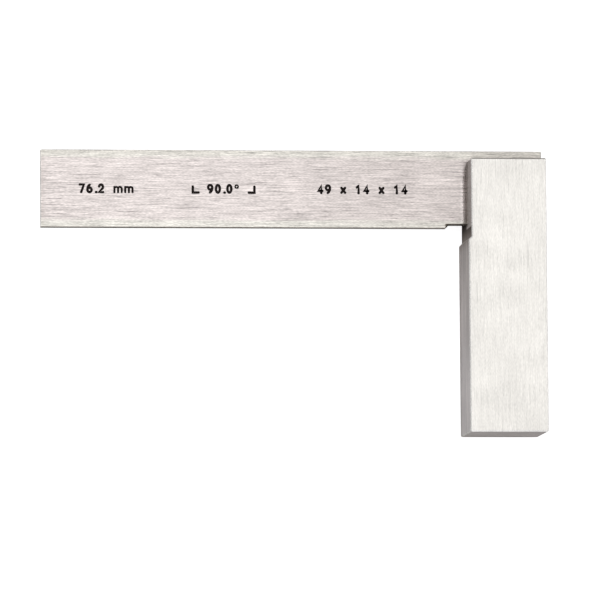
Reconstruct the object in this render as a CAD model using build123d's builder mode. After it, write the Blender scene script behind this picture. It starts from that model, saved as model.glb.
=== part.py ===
"""Small precision try square, in millimetres.

A ground steel beam carries a thin blade in a slot across its end. Three pins cross the slot, lock the blade
and are ground flush with the beam. The square lies on one side of its beam: the origin is the centre of that
face, +X runs across the beam away from the blade's tip, +Y along the beam towards the blade, +Z up.
"""

import os

from build123d import *

# Driving dimensions
blade_reach = 76.2  # from the beam's inner face to the blade's tip, the square's nominal size
blade_width = 14.0
blade_thickness = 1.3
beam_width = 14.1
beam_length = 49.1
beam_thickness = 14.1
blade_proud = 1.9  # the blade's outer edge stands this far beyond the beam's end
pin_radius = 1.25

# Clearance for burrs and dirt in the inner corner, cut with a 45 degree step
blade_relief_depth = 0.6
blade_relief_reach = 2.8  # from the beam's inner face to the foot of the step
beam_relief_depth = 0.53
beam_relief_reach = 2.0  # from the blade's inner edge to the foot of the step

# Broken edges
beam_edge_break = 0.2
blade_edge_break = 0.1

# Faces and edges of the assembled square
inner_face_x = -beam_width / 2
outer_face_x = beam_width / 2
beam_foot_y = -beam_length / 2
beam_head_y = beam_length / 2
blade_tip_x = inner_face_x - blade_reach
blade_outer_y = beam_head_y + blade_proud
blade_inner_y = blade_outer_y - blade_width
slot_floor_y = blade_inner_y + blade_relief_depth
blade_low_z = (beam_thickness - blade_thickness) / 2

# Pin centres: two side by side near the slot's floor, one near the beam's head
pin_side_x = 3.6
pin_low_y = slot_floor_y + 3.0
pin_high_y = beam_head_y - 3.2
pin_centres = [(-pin_side_x, pin_low_y), (pin_side_x, pin_low_y), (0, pin_high_y)]


def near(value, target):
    """True where an edge's coordinate is the wanted one, within a hundredth of a millimetre."""
    return abs(value - target) < 0.01


# Beam: a square bar, stepped back around the blade, with a slot across its head
relieved_face_x = inner_face_x + beam_relief_depth
step_top_y = blade_inner_y - beam_relief_reach
step_foot_y = step_top_y - beam_relief_depth

with BuildPart() as beam:
    with BuildSketch():
        with BuildLine():
            Polyline(
                (inner_face_x, beam_foot_y),
                (outer_face_x, beam_foot_y),
                (outer_face_x, beam_head_y),
                (relieved_face_x, beam_head_y),
                (relieved_face_x, step_top_y),
                (inner_face_x, step_foot_y),
                close=True,
            )
        make_face()
    extrude(amount=beam_thickness)

    slot_depth = beam_head_y - slot_floor_y
    with BuildSketch(Plane.YZ.offset(outer_face_x)):
        with Locations((slot_floor_y, beam_thickness / 2)):
            Rectangle(slot_depth, blade_thickness, align=(Align.MIN, Align.CENTER))
    extrude(amount=-beam_width, mode=Mode.SUBTRACT)

    step_edges = beam.edges().filter_by(Axis.Z).filter_by(
        lambda edge: near(edge.center().Y, step_top_y) or near(edge.center().Y, step_foot_y)
    )
    floor_edges = beam.edges().filter_by(lambda edge: near(edge.center().Y, slot_floor_y))
    chamfer(beam.edges() - step_edges - floor_edges, beam_edge_break)

    with Locations(*pin_centres):
        Hole(pin_radius)
beam.part.label = "beam"

# Blade: a thin parallel strip through the whole slot, stepped back along its inner edge at the beam
step_near_x = inner_face_x - blade_relief_reach
step_far_x = step_near_x - blade_relief_depth

with BuildPart() as blade:
    with BuildSketch(Plane.XY.offset(blade_low_z)):
        with BuildLine():
            Polyline(
                (blade_tip_x, blade_inner_y),
                (step_far_x, blade_inner_y),
                (step_near_x, slot_floor_y),
                (outer_face_x, slot_floor_y),
                (outer_face_x, blade_outer_y),
                (blade_tip_x, blade_outer_y),
                close=True,
            )
        make_face()
    extrude(amount=blade_thickness)
    step_edges = blade.edges().filter_by(Axis.Z).filter_by(
        lambda edge: near(edge.center().X, step_far_x) or near(edge.center().X, step_near_x)
    )
    chamfer(blade.edges() - step_edges, blade_edge_break)
    with Locations(*pin_centres):
        Hole(pin_radius)
blade.part.label = "blade"

# Pins: plain cylinders, through both cheeks of the beam and the blade
pins = []
for number, centre in enumerate(pin_centres, start=1):
    with BuildPart() as pin:
        with BuildSketch():
            with Locations(centre):
                Circle(pin_radius)
        extrude(amount=beam_thickness)
    pin.part.label = f"retaining_pin_{number}"
    pins.append(pin.part)

os.makedirs("parts", exist_ok=True)
for piece in [beam.part, blade.part, *pins]:
    export_step(piece, f"parts/{piece.label}.step")
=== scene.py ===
"""Studio scene of the try square: finishes, etched marks, floor, light and camera, in metres."""

import math

import bmesh
import bpy
from mathutils import Matrix, Vector


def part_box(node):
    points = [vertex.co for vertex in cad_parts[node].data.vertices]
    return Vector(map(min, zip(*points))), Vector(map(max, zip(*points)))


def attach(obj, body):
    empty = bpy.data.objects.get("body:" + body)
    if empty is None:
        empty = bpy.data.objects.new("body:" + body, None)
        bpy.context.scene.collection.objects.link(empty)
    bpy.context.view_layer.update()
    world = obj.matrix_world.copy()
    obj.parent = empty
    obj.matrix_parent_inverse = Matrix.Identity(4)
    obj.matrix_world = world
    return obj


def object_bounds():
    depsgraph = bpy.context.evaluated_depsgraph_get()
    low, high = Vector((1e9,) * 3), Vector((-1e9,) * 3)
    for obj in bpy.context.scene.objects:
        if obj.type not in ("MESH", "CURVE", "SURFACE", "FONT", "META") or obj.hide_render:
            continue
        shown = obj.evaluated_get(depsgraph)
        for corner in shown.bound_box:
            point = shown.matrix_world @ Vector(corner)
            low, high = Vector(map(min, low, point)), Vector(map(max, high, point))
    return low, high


MM = 0.001

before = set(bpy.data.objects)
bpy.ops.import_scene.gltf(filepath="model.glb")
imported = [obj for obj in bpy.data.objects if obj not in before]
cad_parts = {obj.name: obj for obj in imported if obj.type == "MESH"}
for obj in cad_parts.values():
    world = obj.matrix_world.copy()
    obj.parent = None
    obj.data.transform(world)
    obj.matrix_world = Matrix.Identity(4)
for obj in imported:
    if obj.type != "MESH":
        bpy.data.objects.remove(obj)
cad_low, cad_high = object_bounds()
scene = bpy.context.scene

beam_low, beam_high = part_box("beam")
blade_low, blade_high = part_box("blade")
blade_inner_y = blade_low[1]

# The inner corner is cut back, as in the CAD: the beam's inner face to the cheek beside the blade, and the
# blade's inner edge to the notch beside the beam. The notch starts at notch_x, and its floor is at notch_y
beam_relief_depth = 0.53 * MM
blade_relief_depth = 0.6 * MM
blade_relief_length = 3.4 * MM
cheek_x = beam_low[0] + beam_relief_depth
notch_x = beam_low[0] - blade_relief_length
notch_y = blade_inner_y + blade_relief_depth


# ---------------------------------------------------------------- material helpers


class Value:
    """What one socket of a shader graph gives. Arithmetic with it adds Math nodes to the graph."""

    def __init__(self, graph, socket):
        self.graph = graph
        self.socket = socket

    def __add__(self, other):
        return self.graph.math("ADD", self, other)

    def __radd__(self, other):
        return self.graph.math("ADD", other, self)

    def __sub__(self, other):
        return self.graph.math("SUBTRACT", self, other)

    def __rsub__(self, other):
        return self.graph.math("SUBTRACT", other, self)

    def __mul__(self, other):
        return self.graph.math("MULTIPLY", self, other)


class Graph:
    """The shader nodes of one material or world, with short calls for the few kinds used here."""

    def __init__(self, owner, shader="Principled BSDF"):
        owner.use_nodes = True
        self.owner = owner
        self.tree = owner.node_tree
        self.shader = self.tree.nodes[shader]

    def node(self, kind, **settings):
        node = self.tree.nodes.new(kind)
        for name, value in settings.items():
            setattr(node, name, value)
        return node

    def source(self, kind, output):
        """One output of a new node that has no inputs to feed."""
        return Value(self, self.node(kind).outputs[output])

    def feed(self, socket, value):
        """Links a Value to a socket, or sets the socket itself to a number, vector or opaque colour."""
        if isinstance(value, Value):
            self.tree.links.new(value.socket, socket)
        elif socket.type == "RGBA":
            socket.default_value = (*value, 1)
        else:
            socket.default_value = value

    def shade(self, **inputs):
        """Feeds inputs of the shader, named with _ for each space."""
        for name, value in inputs.items():
            self.feed(self.shader.inputs[name.replace("_", " ")], value)

    def math(self, operation, first, second=0.0):
        node = self.node("ShaderNodeMath", operation=operation)
        self.feed(node.inputs[0], first)
        self.feed(node.inputs[1], second)
        return Value(self, node.outputs[0])

    def largest(self, first, *others):
        for other in others:
            first = self.math("MAXIMUM", first, other)
        return first

    def vector_math(self, operation, first, second, output="Vector"):
        node = self.node("ShaderNodeVectorMath", operation=operation)
        self.feed(node.inputs[0], first)
        self.feed(node.inputs["Scale" if operation == "SCALE" else 1], second)
        return Value(self, node.outputs[output])

    def step(self, value, start, end):
        """0 where value is at start, 1 where it is at end, with a smooth change between."""
        node = self.node("ShaderNodeMapRange", interpolation_type="SMOOTHSTEP")
        self.feed(node.inputs["Value"], value)
        node.inputs["From Min"].default_value = min(start, end)
        node.inputs["From Max"].default_value = max(start, end)
        node.inputs["To Min"].default_value = 0.0 if start < end else 1.0
        node.inputs["To Max"].default_value = 1.0 if start < end else 0.0
        return Value(self, node.outputs["Result"])

    def parts(self, vector):
        """The X, Y and Z of a vector."""
        node = self.node("ShaderNodeSeparateXYZ")
        self.feed(node.inputs["Vector"], vector)
        return [Value(self, node.outputs[axis]) for axis in "XYZ"]

    def vector(self, x, y, z):
        node = self.node("ShaderNodeCombineXYZ")
        for socket, value in zip(node.inputs, (x, y, z)):
            self.feed(socket, value)
        return Value(self, node.outputs["Vector"])

    def noise(self, place, cell, detail=0.0, turn=0.0, offset=0.0):
        """Noise from 0 to 1.

        cell is the size of its features along X, Y and Z, and turn an angle in degrees about Z. offset moves
        it, so that no two noises are alike.
        """
        mapping = self.node("ShaderNodeMapping", vector_type="TEXTURE")
        self.feed(mapping.inputs["Vector"], place)
        mapping.inputs["Location"].default_value = (offset, offset, offset)
        mapping.inputs["Rotation"].default_value = (0, 0, math.radians(turn))
        mapping.inputs["Scale"].default_value = cell
        noise = self.node("ShaderNodeTexNoise", noise_dimensions="3D")
        self.feed(noise.inputs["Vector"], Value(self, mapping.outputs["Vector"]))
        noise.inputs["Scale"].default_value = 1.0
        noise.inputs["Detail"].default_value = detail
        return Value(self, noise.outputs["Fac"])

    def blend(self, share, first, second, kind="RGBA"):
        """The first where share is 0, the second where it is 1: colours, or places if kind is VECTOR."""
        node = self.node("ShaderNodeMix", data_type=kind)
        self.feed(node.inputs["Factor"], share)
        self.feed(node.inputs["A"], first)
        self.feed(node.inputs["B"], second)
        return Value(self, node.outputs["Result"])

    def bump(self, height, strength, depth):
        """Fine relief in the shading: height is from 0 to 1, and depth what 1 stands for."""
        node = self.node("ShaderNodeBump")
        node.inputs["Strength"].default_value = strength
        node.inputs["Distance"].default_value = depth
        self.feed(node.inputs["Height"], height)
        return Value(self, node.outputs["Normal"])


def give(node, material):
    """Puts one material on a CAD node or a new piece."""
    node.data.materials.clear()
    node.data.materials.append(material)


# ---------------------------------------------------------------- ground steel

white = (1, 1, 1)
# The colour of the broken edges' painted highlight
edge_highlight_colour = (0.90, 0.89, 0.87)
# The brown tint of the painted shade
shade_brown = (1.0, 0.90, 0.80)


def ground_steel(name, along, top, side, contrast, grit, edge_highlight, shade_painter, pale=None, pale_band=None):
    """Surface-ground steel, with grinding lines on every face.

    along is the grinding direction, 0 for X and 1 for Y; the lines run the other way on faces square to it.
    top is the colour of the upper and lower faces, side of the side faces, a little brighter as painted
    light, and pale of any paler bands.
    contrast is how far the lines change the brightness, grit the share of short lines, and the edge
    highlight how much brighter the broken edges are painted, a painted highlight. The shade painter is a
    function of the graph, a place and how upright the face is there, and gives how much shade is painted
    there, below 0 where light is painted instead. pale_band is a function of the graph and a place, and
    gives how pale it is.
    """
    graph = Graph(bpy.data.materials.new(name))
    place = graph.source("ShaderNodeTexCoord", "Object")
    normal = graph.source("ShaderNodeNewGeometry", "True Normal")
    facing = [graph.math("ABSOLUTE", part) for part in graph.parts(normal)]
    upright = graph.step(facing[2], 0.6, 0.4)

    # On an end face the lines run across, so its X and Y are swapped
    end_face = graph.step(facing[along], 0.8, 0.85)
    x, y, z = graph.parts(place)
    pattern_place = graph.blend(end_face, place, graph.vector(y, x, z), kind="VECTOR")

    # The lines wander a little
    sway = (graph.noise(pattern_place, (6 * MM, 6 * MM, 6 * MM), 1.0) - 0.5) * (0.14 * MM)
    pattern_place = graph.vector_math("ADD", pattern_place, graph.vector(sway, sway, sway))

    def lines(width, length, turn=0.0, offset=0.0):
        """Noise in streaks of this width and length along the lines."""
        cell = [width] * 3
        cell[along] = length
        return graph.noise(pattern_place, cell, 0.0, turn, offset)

    # Short lines, two sets of longer ones that cross at a small angle, and the longest
    layers = [
        (grit, lines(0.09 * MM, 0.5 * MM, offset=0.011)),
        (0.40 * (1 - grit), lines(0.09 * MM, 3.5 * MM, turn=0.6, offset=0.023)),
        (0.25 * (1 - grit), lines(0.09 * MM, 6.0 * MM, turn=-0.8, offset=0.037)),
        (0.35 * (1 - grit), lines(0.10 * MM, 13.0 * MM, offset=0.053)),
    ]
    grain = sum(layer * weight for weight, layer in layers)
    scratch = graph.largest(
        graph.step(lines(0.13 * MM, 6 * MM, turn=1.5, offset=0.071), 0.66, 0.78),
        graph.step(lines(0.12 * MM, 3 * MM, turn=-3.0, offset=0.083), 0.70, 0.80),
    )
    stain = graph.noise(place, (9 * MM, 5 * MM, 5 * MM), 3.0, offset=0.097)
    broad_lines = lines(1.8 * MM, 11 * MM, offset=0.113) - 0.5

    brightness = (grain - 0.5) * (6 * contrast) + 1.0
    brightness *= 1.0 - scratch * contrast
    brightness *= stain * 0.12 + 0.94
    brightness *= broad_lines * upright * 0.55 + 1.0
    # Shade is painted into the colour: darker where the shade painter gives more than 0, brighter where it
    # gives less, as painted light
    painted_shade = shade_painter(graph, place, upright)
    brightness *= 1.0 - painted_shade * 0.9

    # Broken edges are smoother than the ground faces, and painted brighter: a painted highlight along them
    broken_edge = graph.step(graph.largest(*facing), 0.9, 0.8)
    tint = graph.blend(pale_band(graph, place), top, pale) if pale_band else top
    # The side faces take side, a little brighter than top: painted light for how the side faces are lit
    tint = graph.blend(upright, tint, side)
    tint = graph.blend(broken_edge * edge_highlight, tint, edge_highlight_colour)
    # The painted shade is also browner here, and rougher in the Roughness below
    tint = graph.vector_math("MULTIPLY", tint, graph.blend(painted_shade, white, shade_brown))
    cloud = graph.noise(place, (6 * MM, 6 * MM, 6 * MM), 2.0, offset=0.103)

    # The sheen is drawn out across the lines
    groove = [0.0, 0.0, 0.0]
    groove[along] = 1.0 - end_face
    groove[1 - along] = end_face

    graph.shade(
        Base_Color=graph.vector_math("SCALE", tint, brightness),
        Metallic=1.0,
        Roughness=cloud * 0.08 + 0.30 + painted_shade * 0.3 - broken_edge * 0.08,
        Anisotropic=1.0,
        Tangent=graph.vector_math("CROSS_PRODUCT", normal, graph.vector(*groove)),
        Normal=graph.bump(grain - scratch * 0.3, strength=0.25, depth=0.02 * MM),
    )
    return graph.owner


def lapped_band(graph, place):
    """The paler bands along the blade's two long edges, with streaky borders."""
    _, y, _ = graph.parts(place)
    from_edge = graph.math("MINIMUM", y - blade_low[1], blade_high[1] - y)
    streaks = graph.noise(place, (9 * MM, 0.25 * MM, 0.25 * MM), 2.0, offset=0.131)
    return graph.step(from_edge + streaks * (1.6 * MM), 2.6 * MM, 1.6 * MM)


def blade_painted_shade(graph, place, upright):
    """Painted shade on the blade, growing towards the beam and thickest on it, dark edges, and painted light
    beside the cheek.
    """
    x, y, _ = graph.parts(place)
    # Painted shade grows a little towards the beam, and is stronger from just inside the beam on, in the
    # beam's shade
    fade_shade = graph.step(x, cheek_x - 45 * MM, cheek_x) * 0.06
    beam_shade = graph.step(x, cheek_x + 0.6 * MM, cheek_x + 0.8 * MM) * 0.12

    # The inner edge face is painted dark as shade, most at the notch, but not so the outer edge face and the
    # two end faces
    at_notch = graph.step(x, notch_x - 0.27 * MM, notch_x + 0.33 * MM)
    from_ends = graph.math("MINIMUM", x - blade_low[0], blade_high[0] - x)
    edge_face_shade = at_notch * 0.18 + 0.80
    edge_face_shade *= graph.step(y, notch_y + 0.4 * MM, notch_y + 0.2 * MM)
    edge_face_shade *= graph.step(from_ends, 0.02 * MM, 0.10 * MM)

    # The upper and lower faces have a dark lip of painted shade along the inner edge, and a faint darker one
    # at the tip and opposite
    notch_lip = at_notch * graph.step(y, notch_y + 0.32 * MM, notch_y + 0.22 * MM) * 0.9
    inner_lip = graph.step(y, blade_inner_y + 0.16 * MM, blade_inner_y + 0.10 * MM) * 0.75
    tip_lip = graph.step(x, blade_low[0] + 1.5 * MM, blade_low[0] + 0.3 * MM) * 0.05
    outer_lip = graph.step(y, blade_high[1] - 1.0 * MM, blade_high[1] - 0.6 * MM) * 0.05
    painted_shade = graph.largest(fade_shade, beam_shade, upright * edge_face_shade, notch_lip, inner_lip, tip_lip, outer_lip)

    # Where the cheek is mirrored in the blade, close beside it, the blade is painted brighter: painted light
    # on the reflection
    from_cheek = cheek_x - x
    painted_brightening = graph.step(from_cheek, 1.4 * MM, 0.4 * MM) * graph.step(from_cheek, -0.3 * MM, 0.0)
    painted_brightening *= graph.step(y, beam_high[1] + 0.1 * MM, beam_high[1] - 4.0 * MM)
    painted_brightening *= graph.step(y, notch_y + 0.3 * MM, notch_y + 0.4 * MM)
    return painted_shade - painted_brightening * 0.44


def beam_painted_shade(graph, place, upright):
    """Painted shade on the beam: beside the blade, in the inner corner, and on its foot, lower rim and head,
    and painted light towards the foot.
    """
    x, y, z = graph.parts(place)
    inner_side = graph.step(x, cheek_x + 0.3 * MM, cheek_x + 0.1 * MM)
    at_slot = graph.step(y, blade_inner_y, blade_inner_y + 0.5 * MM)

    # Shade is painted on the cheek, mottled, and darkest close to the blade
    blade_middle = (blade_low[2] + blade_high[2]) / 2
    half_thickness = (blade_high[2] - blade_low[2]) / 2
    patches = graph.noise(place, (0.5 * MM, 0.5 * MM, 0.5 * MM), 2.0, offset=0.163)
    from_blade = graph.math("ABSOLUTE", z - blade_middle) - half_thickness - patches * (0.6 * MM)
    mottle = graph.step(graph.noise(place, (1 * MM, 0.22 * MM, 1.0 * MM), 1.0, offset=0.193), 0.36, 0.66)
    cheek = graph.step(from_blade, 2.2 * MM, 1.2 * MM) * 0.32 + (mottle * 0.20 + 0.28)
    cheek *= inner_side * at_slot
    # A little painted shade along the joint around the blade
    slot_rim = graph.step(from_blade, -0.2 * MM, -0.5 * MM) * at_slot * 0.2

    # The inner corner and the cheek under the blade are painted dark as the blade's shade, and painted shade
    # fades from there to the foot. All of it is on the beam's inner side
    under_blade = graph.step(z, blade_high[2], blade_low[2])
    inside_corner = graph.step(y, blade_inner_y, blade_inner_y - 0.2 * MM)
    near_corner = graph.step(y, blade_inner_y - 6 * MM, blade_inner_y + 0.5 * MM) * inner_side
    corner = graph.largest(under_blade, inside_corner) * near_corner * 0.95
    fade_shade = graph.step(y, beam_low[1], blade_inner_y) * 0.22 * inner_side

    # The foot's end face is painted darker as shade, and all the side faces have painted shade at their
    # lower rim
    foot = graph.step(y, beam_low[1] + 0.25 * MM, beam_low[1] + 0.15 * MM) * 0.18
    lower_rim = graph.step(z - beam_low[2], 1.6 * MM, 0.4 * MM) * 0.42
    painted_shade = graph.largest(cheek, slot_rim, corner, fade_shade, foot, lower_rim) * upright

    # The head's broken edge is painted dark as shade along the upper and lower faces, and its end face is
    # not
    head_rim = graph.step(y, beam_high[1] - 0.22 * MM, beam_high[1] - 0.14 * MM) * (0.55 - upright)
    painted_shade = graph.largest(painted_shade, head_rim)

    # Towards the foot the inner side is painted brighter, as light, but not the foot's own face
    painted_brightening = graph.step(y, beam_low[1] + 20 * MM, beam_low[1] + 5 * MM) * inner_side
    painted_brightening *= graph.step(y, beam_low[1] + 0.15 * MM, beam_low[1] + 0.25 * MM) * upright
    return painted_shade - painted_brightening * 0.14


beam_steel = ground_steel(
    "beam_ground_steel",
    along=1,
    top=(0.585, 0.568, 0.54),
    side=(0.61, 0.575, 0.57),
    contrast=0.13,
    grit=0.42,
    edge_highlight=1.0,
    shade_painter=beam_painted_shade,
)
blade_steel = ground_steel(
    "blade_ground_steel",
    along=0,
    top=(0.568, 0.519, 0.504),
    side=(0.60, 0.57, 0.55),
    contrast=0.38,
    grit=0.30,
    edge_highlight=0.8,
    shade_painter=blade_painted_shade,
    pale=(0.596, 0.577, 0.535),
    pale_band=lapped_band,
)

give(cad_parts["beam"], beam_steel)
give(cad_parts["blade"], blade_steel)
for number in (1, 2, 3):
    give(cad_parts[f"retaining_pin_{number}"], beam_steel)

# ---------------------------------------------------------------- etched marks

mark_height = 1.8 * MM
mark_width = 0.66 * mark_height
mark_stroke = 0.46 * MM
mark_pitch = 1.38 * MM
mark_proud = 0.008 * MM
mark_sunk = 0.006 * MM

# Each stroke lies this much higher than the one before, so that no two crossing ones share a plane
stroke_rise = 0.001 * MM

# The bend, in degrees, between two points of an arc
arc_bend = 15


def arc(middle, radii, start, end):
    """Points along part of an ellipse, from the angle start to the angle end, in degrees."""
    spans = max(2, round(abs(end - start) / arc_bend))
    turns = [math.radians(start + (end - start) * span / spans) for span in range(spans + 1)]
    (u, v), (wide, high) = middle, radii
    return [(u + wide * math.cos(turn), v + high * math.sin(turn)) for turn in turns]


def turned(stroke):
    """The stroke upside down."""
    return [(1 - u, 1 - v) for u, v in stroke]


# Each sign is a list of strokes, in a box from 0 to 1; a stroke that ends where it starts is a closed ring
low_ring = arc((0.5, 0.3), (0.5, 0.3), 0, 360)
six = [low_ring, arc((0.75, 0.3), (0.75, 0.7), 105, 180)]
signs = {
    "0": [arc((0.5, 0.5), (0.48, 0.5), 0, 360)],
    "1": [[(0.1, 0.78), (0.5, 1.0), (0.5, 0.0)]],
    "2": [arc((0.5, 0.7), (0.48, 0.3), 170, -40) + [(0.0, 0.0), (1.0, 0.0)]],
    "4": [[(1.0, 0.28), (0.0, 0.28), (0.72, 1.0), (0.72, 0.0)]],
    "6": six,
    "7": [[(0.0, 1.0), (1.0, 1.0), (0.36, 0.0)]],
    "9": [turned(stroke) for stroke in six],
    "x": [[(0.05, 0.05), (0.95, 0.7)], [(0.05, 0.7), (0.95, 0.05)]],
    "m": [
        [(0.0, 0.0), (0.0, 0.7)],
        arc((0.45, 0.45), (0.45, 0.25), 180, 0) + [(0.9, 0.0)],
        arc((1.35, 0.45), (0.45, 0.25), 180, 0) + [(1.8, 0.0)],
    ],
    ".": [[(0.2, 0.0), (0.3, 0.0)]],
    "degree": [arc((0.4, 0.8), (0.37, 0.2), 0, 360)],
    "corner": [[(0.0, 0.8), (0.0, 0.0), (1.4, 0.0)]],
    "mirrored_corner": [[(1.0, 0.8), (1.0, 0.0), (-0.4, 0.0)]],
}

# Signs that take more or less room than the others, and signs with thinner strokes
sign_pitches = {".": 0.5, "m": 1.4}
stroke_shares = {"m": 0.85, "degree": 0.65}


def add_stroke(mesh, points, width, top):
    """Adds one flat stroke with round ends to mesh, as faces at the height top."""
    closed = math.dist(points[0], points[-1]) < width / 10
    points = [Vector(point) for point in (points[:-1] if closed else points)]
    sides = []
    for place, point in enumerate(points):
        before = points[place - 1] if place or closed else None
        after = points[(place + 1) % len(points)] if closed or place < len(points) - 1 else None
        arriving = (point - before).normalized() if before is not None else (after - point).normalized()
        leaving = (after - point).normalized() if after is not None else arriving
        middle = (arriving + leaving).normalized()
        # At a sharp turn the corner is cut short, so that it doesn't become a spike
        offset = middle.orthogonal() * (width / 2 / max(0.7, middle.dot(arriving)))
        sides.append((point + offset, point - offset))
    pairs = [[mesh.verts.new((*side, top)) for side in pair] for pair in sides]
    for place in range(len(pairs) if closed else len(pairs) - 1):
        (left, right), (next_left, next_right) = pairs[place], pairs[(place + 1) % len(pairs)]
        mesh.faces.new((left, right, next_right, next_left))
    if not closed:
        (first_left, first_right), (last_left, last_right) = pairs[0], pairs[-1]
        add_round_end(mesh, first_left, first_right, points[0], top)
        add_round_end(mesh, last_right, last_left, points[-1], top)


def add_round_end(mesh, first, last, middle, top):
    """Closes the end of a stroke with half a disc, from its corner first round to its corner last."""
    spans = 8
    rim = []
    for span in range(1, spans):
        spoke = first.co.to_2d() - middle
        spoke.rotate(Matrix.Rotation(math.pi * span / spans, 2))
        rim.append(mesh.verts.new((*(middle + spoke), top)))
    mesh.faces.new((first, *rim, last))


def etched_text(name, text, from_tip, material):
    """Etches the signs of a text in a row on the blade's upper face, centred this far from its tip."""
    advances = [mark_pitch * sign_pitches.get(sign, 1.0) for sign in text]
    sign_width = mark_width - mark_stroke
    sign_height = mark_height - mark_stroke
    start = blade_low[0] + from_tip - (sum(advances) - (mark_pitch - sign_width)) / 2
    foot = (blade_low[1] + blade_high[1]) / 2 - sign_height / 2
    top = blade_high[2] + mark_proud
    mesh = bmesh.new()
    for sign, advance in zip(text, advances):
        width = mark_stroke * stroke_shares.get(sign, 1.0)
        for stroke in signs.get(sign, []):
            points = [(start + u * sign_width, foot + v * sign_height) for u, v in stroke]
            add_stroke(mesh, points, width, top)
            top += stroke_rise
        start += advance
    bmesh.ops.recalc_face_normals(mesh, faces=mesh.faces[:])
    for face in mesh.faces:
        if face.normal.z < 0:
            face.normal_flip()
    data = bpy.data.meshes.new(name)
    mesh.to_mesh(data)
    mesh.free()
    piece = bpy.data.objects.new(name, data)
    scene.collection.objects.link(piece)
    depth = piece.modifiers.new("depth", "SOLIDIFY")
    depth.thickness = mark_proud + mark_sunk
    depth.offset = -1
    give(piece, material)
    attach(piece, "root")


def etched_black():
    """Matt black with faint clouds and grey flecks."""
    graph = Graph(bpy.data.materials.new("etched_black"))
    place = graph.source("ShaderNodeTexCoord", "Object")
    flecks = graph.step(graph.noise(place, (0.12 * MM, 0.05 * MM, 0.05 * MM), 2.0, offset=0.171), 0.55, 0.8)
    cloud = graph.noise(place, (0.5 * MM, 0.4 * MM, 0.4 * MM), 2.0, offset=0.187)
    tint = graph.blend(cloud, (0.005, 0.003, 0.003), (0.016, 0.011, 0.010))
    graph.shade(
        Base_Color=graph.blend(flecks, tint, (0.05, 0.04, 0.037)),
        Roughness=cloud * 0.3 + 0.5,
        Specular_IOR_Level=0.1,
        Normal=graph.bump(flecks, strength=0.3, depth=0.01 * MM),
    )
    return graph.owner


# The sizes are the object's own, in millimetres
reach_text = f"{(beam_low[0] - blade_low[0]) / MM:.1f}"
beam_sizes = [f"{(beam_high[axis] - beam_low[axis]) / MM:.0f}" for axis in (1, 0, 2)]

# Each mark's signs, and how far from the blade's tip its middle is
marks = {
    "mark_reach": ([*reach_text, " ", "m", "m"], 11.75 * MM),
    "mark_angle": (["corner", " ", *"90.0", "degree", " ", "mirrored_corner"], 32.85 * MM),
    "mark_beam_size": ([*" x ".join(beam_sizes)], 57.85 * MM),
}
mark_black = etched_black()
for name, (text, from_tip) in marks.items():
    etched_text(name, text, from_tip, mark_black)

# ---------------------------------------------------------------- floor

floor_half = 6.0
floor_drop = 0.02 * MM
floor_corners = [(-1, -1), (1, -1), (1, 1), (-1, 1)]
floor_places = [(u * floor_half, v * floor_half, -floor_drop) for u, v in floor_corners]
floor_mesh = bpy.data.meshes.new("floor")
floor_mesh.from_pydata(floor_places, [], [(0, 1, 2, 3)])
floor = bpy.data.objects.new("floor", floor_mesh)
scene.collection.objects.link(floor)


def glowing_paper(colour, glow):
    """White paper that the camera sees over-exposed, as in the photograph's cut-out background."""
    graph = Graph(bpy.data.materials.new("floor_white"))
    seen = graph.source("ShaderNodeLightPath", "Is Camera Ray")
    graph.shade(
        Base_Color=colour,
        Roughness=1.0,
        Specular_IOR_Level=0.0,
        Emission_Color=white,
        Emission_Strength=seen * glow,
    )
    return graph.owner


give(floor, glowing_paper((0.63, 0.63, 0.63), glow=0.85))

# ---------------------------------------------------------------- light


def studio_sky(lights, fill, wall, wall_height):
    """Soft lights, each a direction, a strength and a narrowness, with an even fill and pale walls."""
    graph = Graph(bpy.data.worlds.new("studio"), "Background")
    direction = graph.source("ShaderNodeTexCoord", "Generated")
    height = graph.parts(direction)[2]
    strength = graph.step(height, wall_height, 0.0) * wall + fill
    for towards, light, narrowness in lights:
        facing = graph.vector_math("DOT_PRODUCT", direction, Vector(towards).normalized(), output="Value")
        strength = graph.math("POWER", graph.largest(facing, 0.0), narrowness) * light + strength
    graph.shade(Color=white, Strength=strength)
    return graph.owner


# A wide light overhead and a weak one low on the beam's outer side
overhead = ((-0.03, 0.14, 1.0), 3.12, 12.0)
outer_side = ((1.0, 0.1, 0.12), 0.55, 6.0)
scene.world = studio_sky([overhead, outer_side], fill=0.26, wall=0.8, wall_height=0.6)

# ---------------------------------------------------------------- camera

view_azimuth = math.radians(-48.3)
view_elevation = math.radians(82.0)
view_roll = math.radians(0.15)
view_distance = 1.196
view_focal_length = 410
view_sensor_width = 36

# The camera aims close to the middle of the object's upper side
cad_middle = (cad_low + cad_high) / 2
view_target = Vector((cad_middle.x - 0.26 * MM, cad_middle.y - 1.15 * MM, cad_high.z))

back = Vector((
    math.sin(view_azimuth) * math.cos(view_elevation),
    -math.cos(view_azimuth) * math.cos(view_elevation),
    math.sin(view_elevation),
))
level = Vector((math.cos(view_roll), math.sin(view_roll), 0))
right = (level - level.dot(back) * back).normalized()
up = back.cross(right)
turn = Matrix((right, up, back)).transposed().to_4x4()
lens = bpy.data.cameras.new("camera")
lens.lens = view_focal_length
lens.sensor_width = view_sensor_width
camera = bpy.data.objects.new("camera", lens)
scene.collection.objects.link(camera)
camera.matrix_world = Matrix.Translation(view_target + back * view_distance) @ turn
scene.camera = camera
scene.view_settings.view_transform = "Standard"
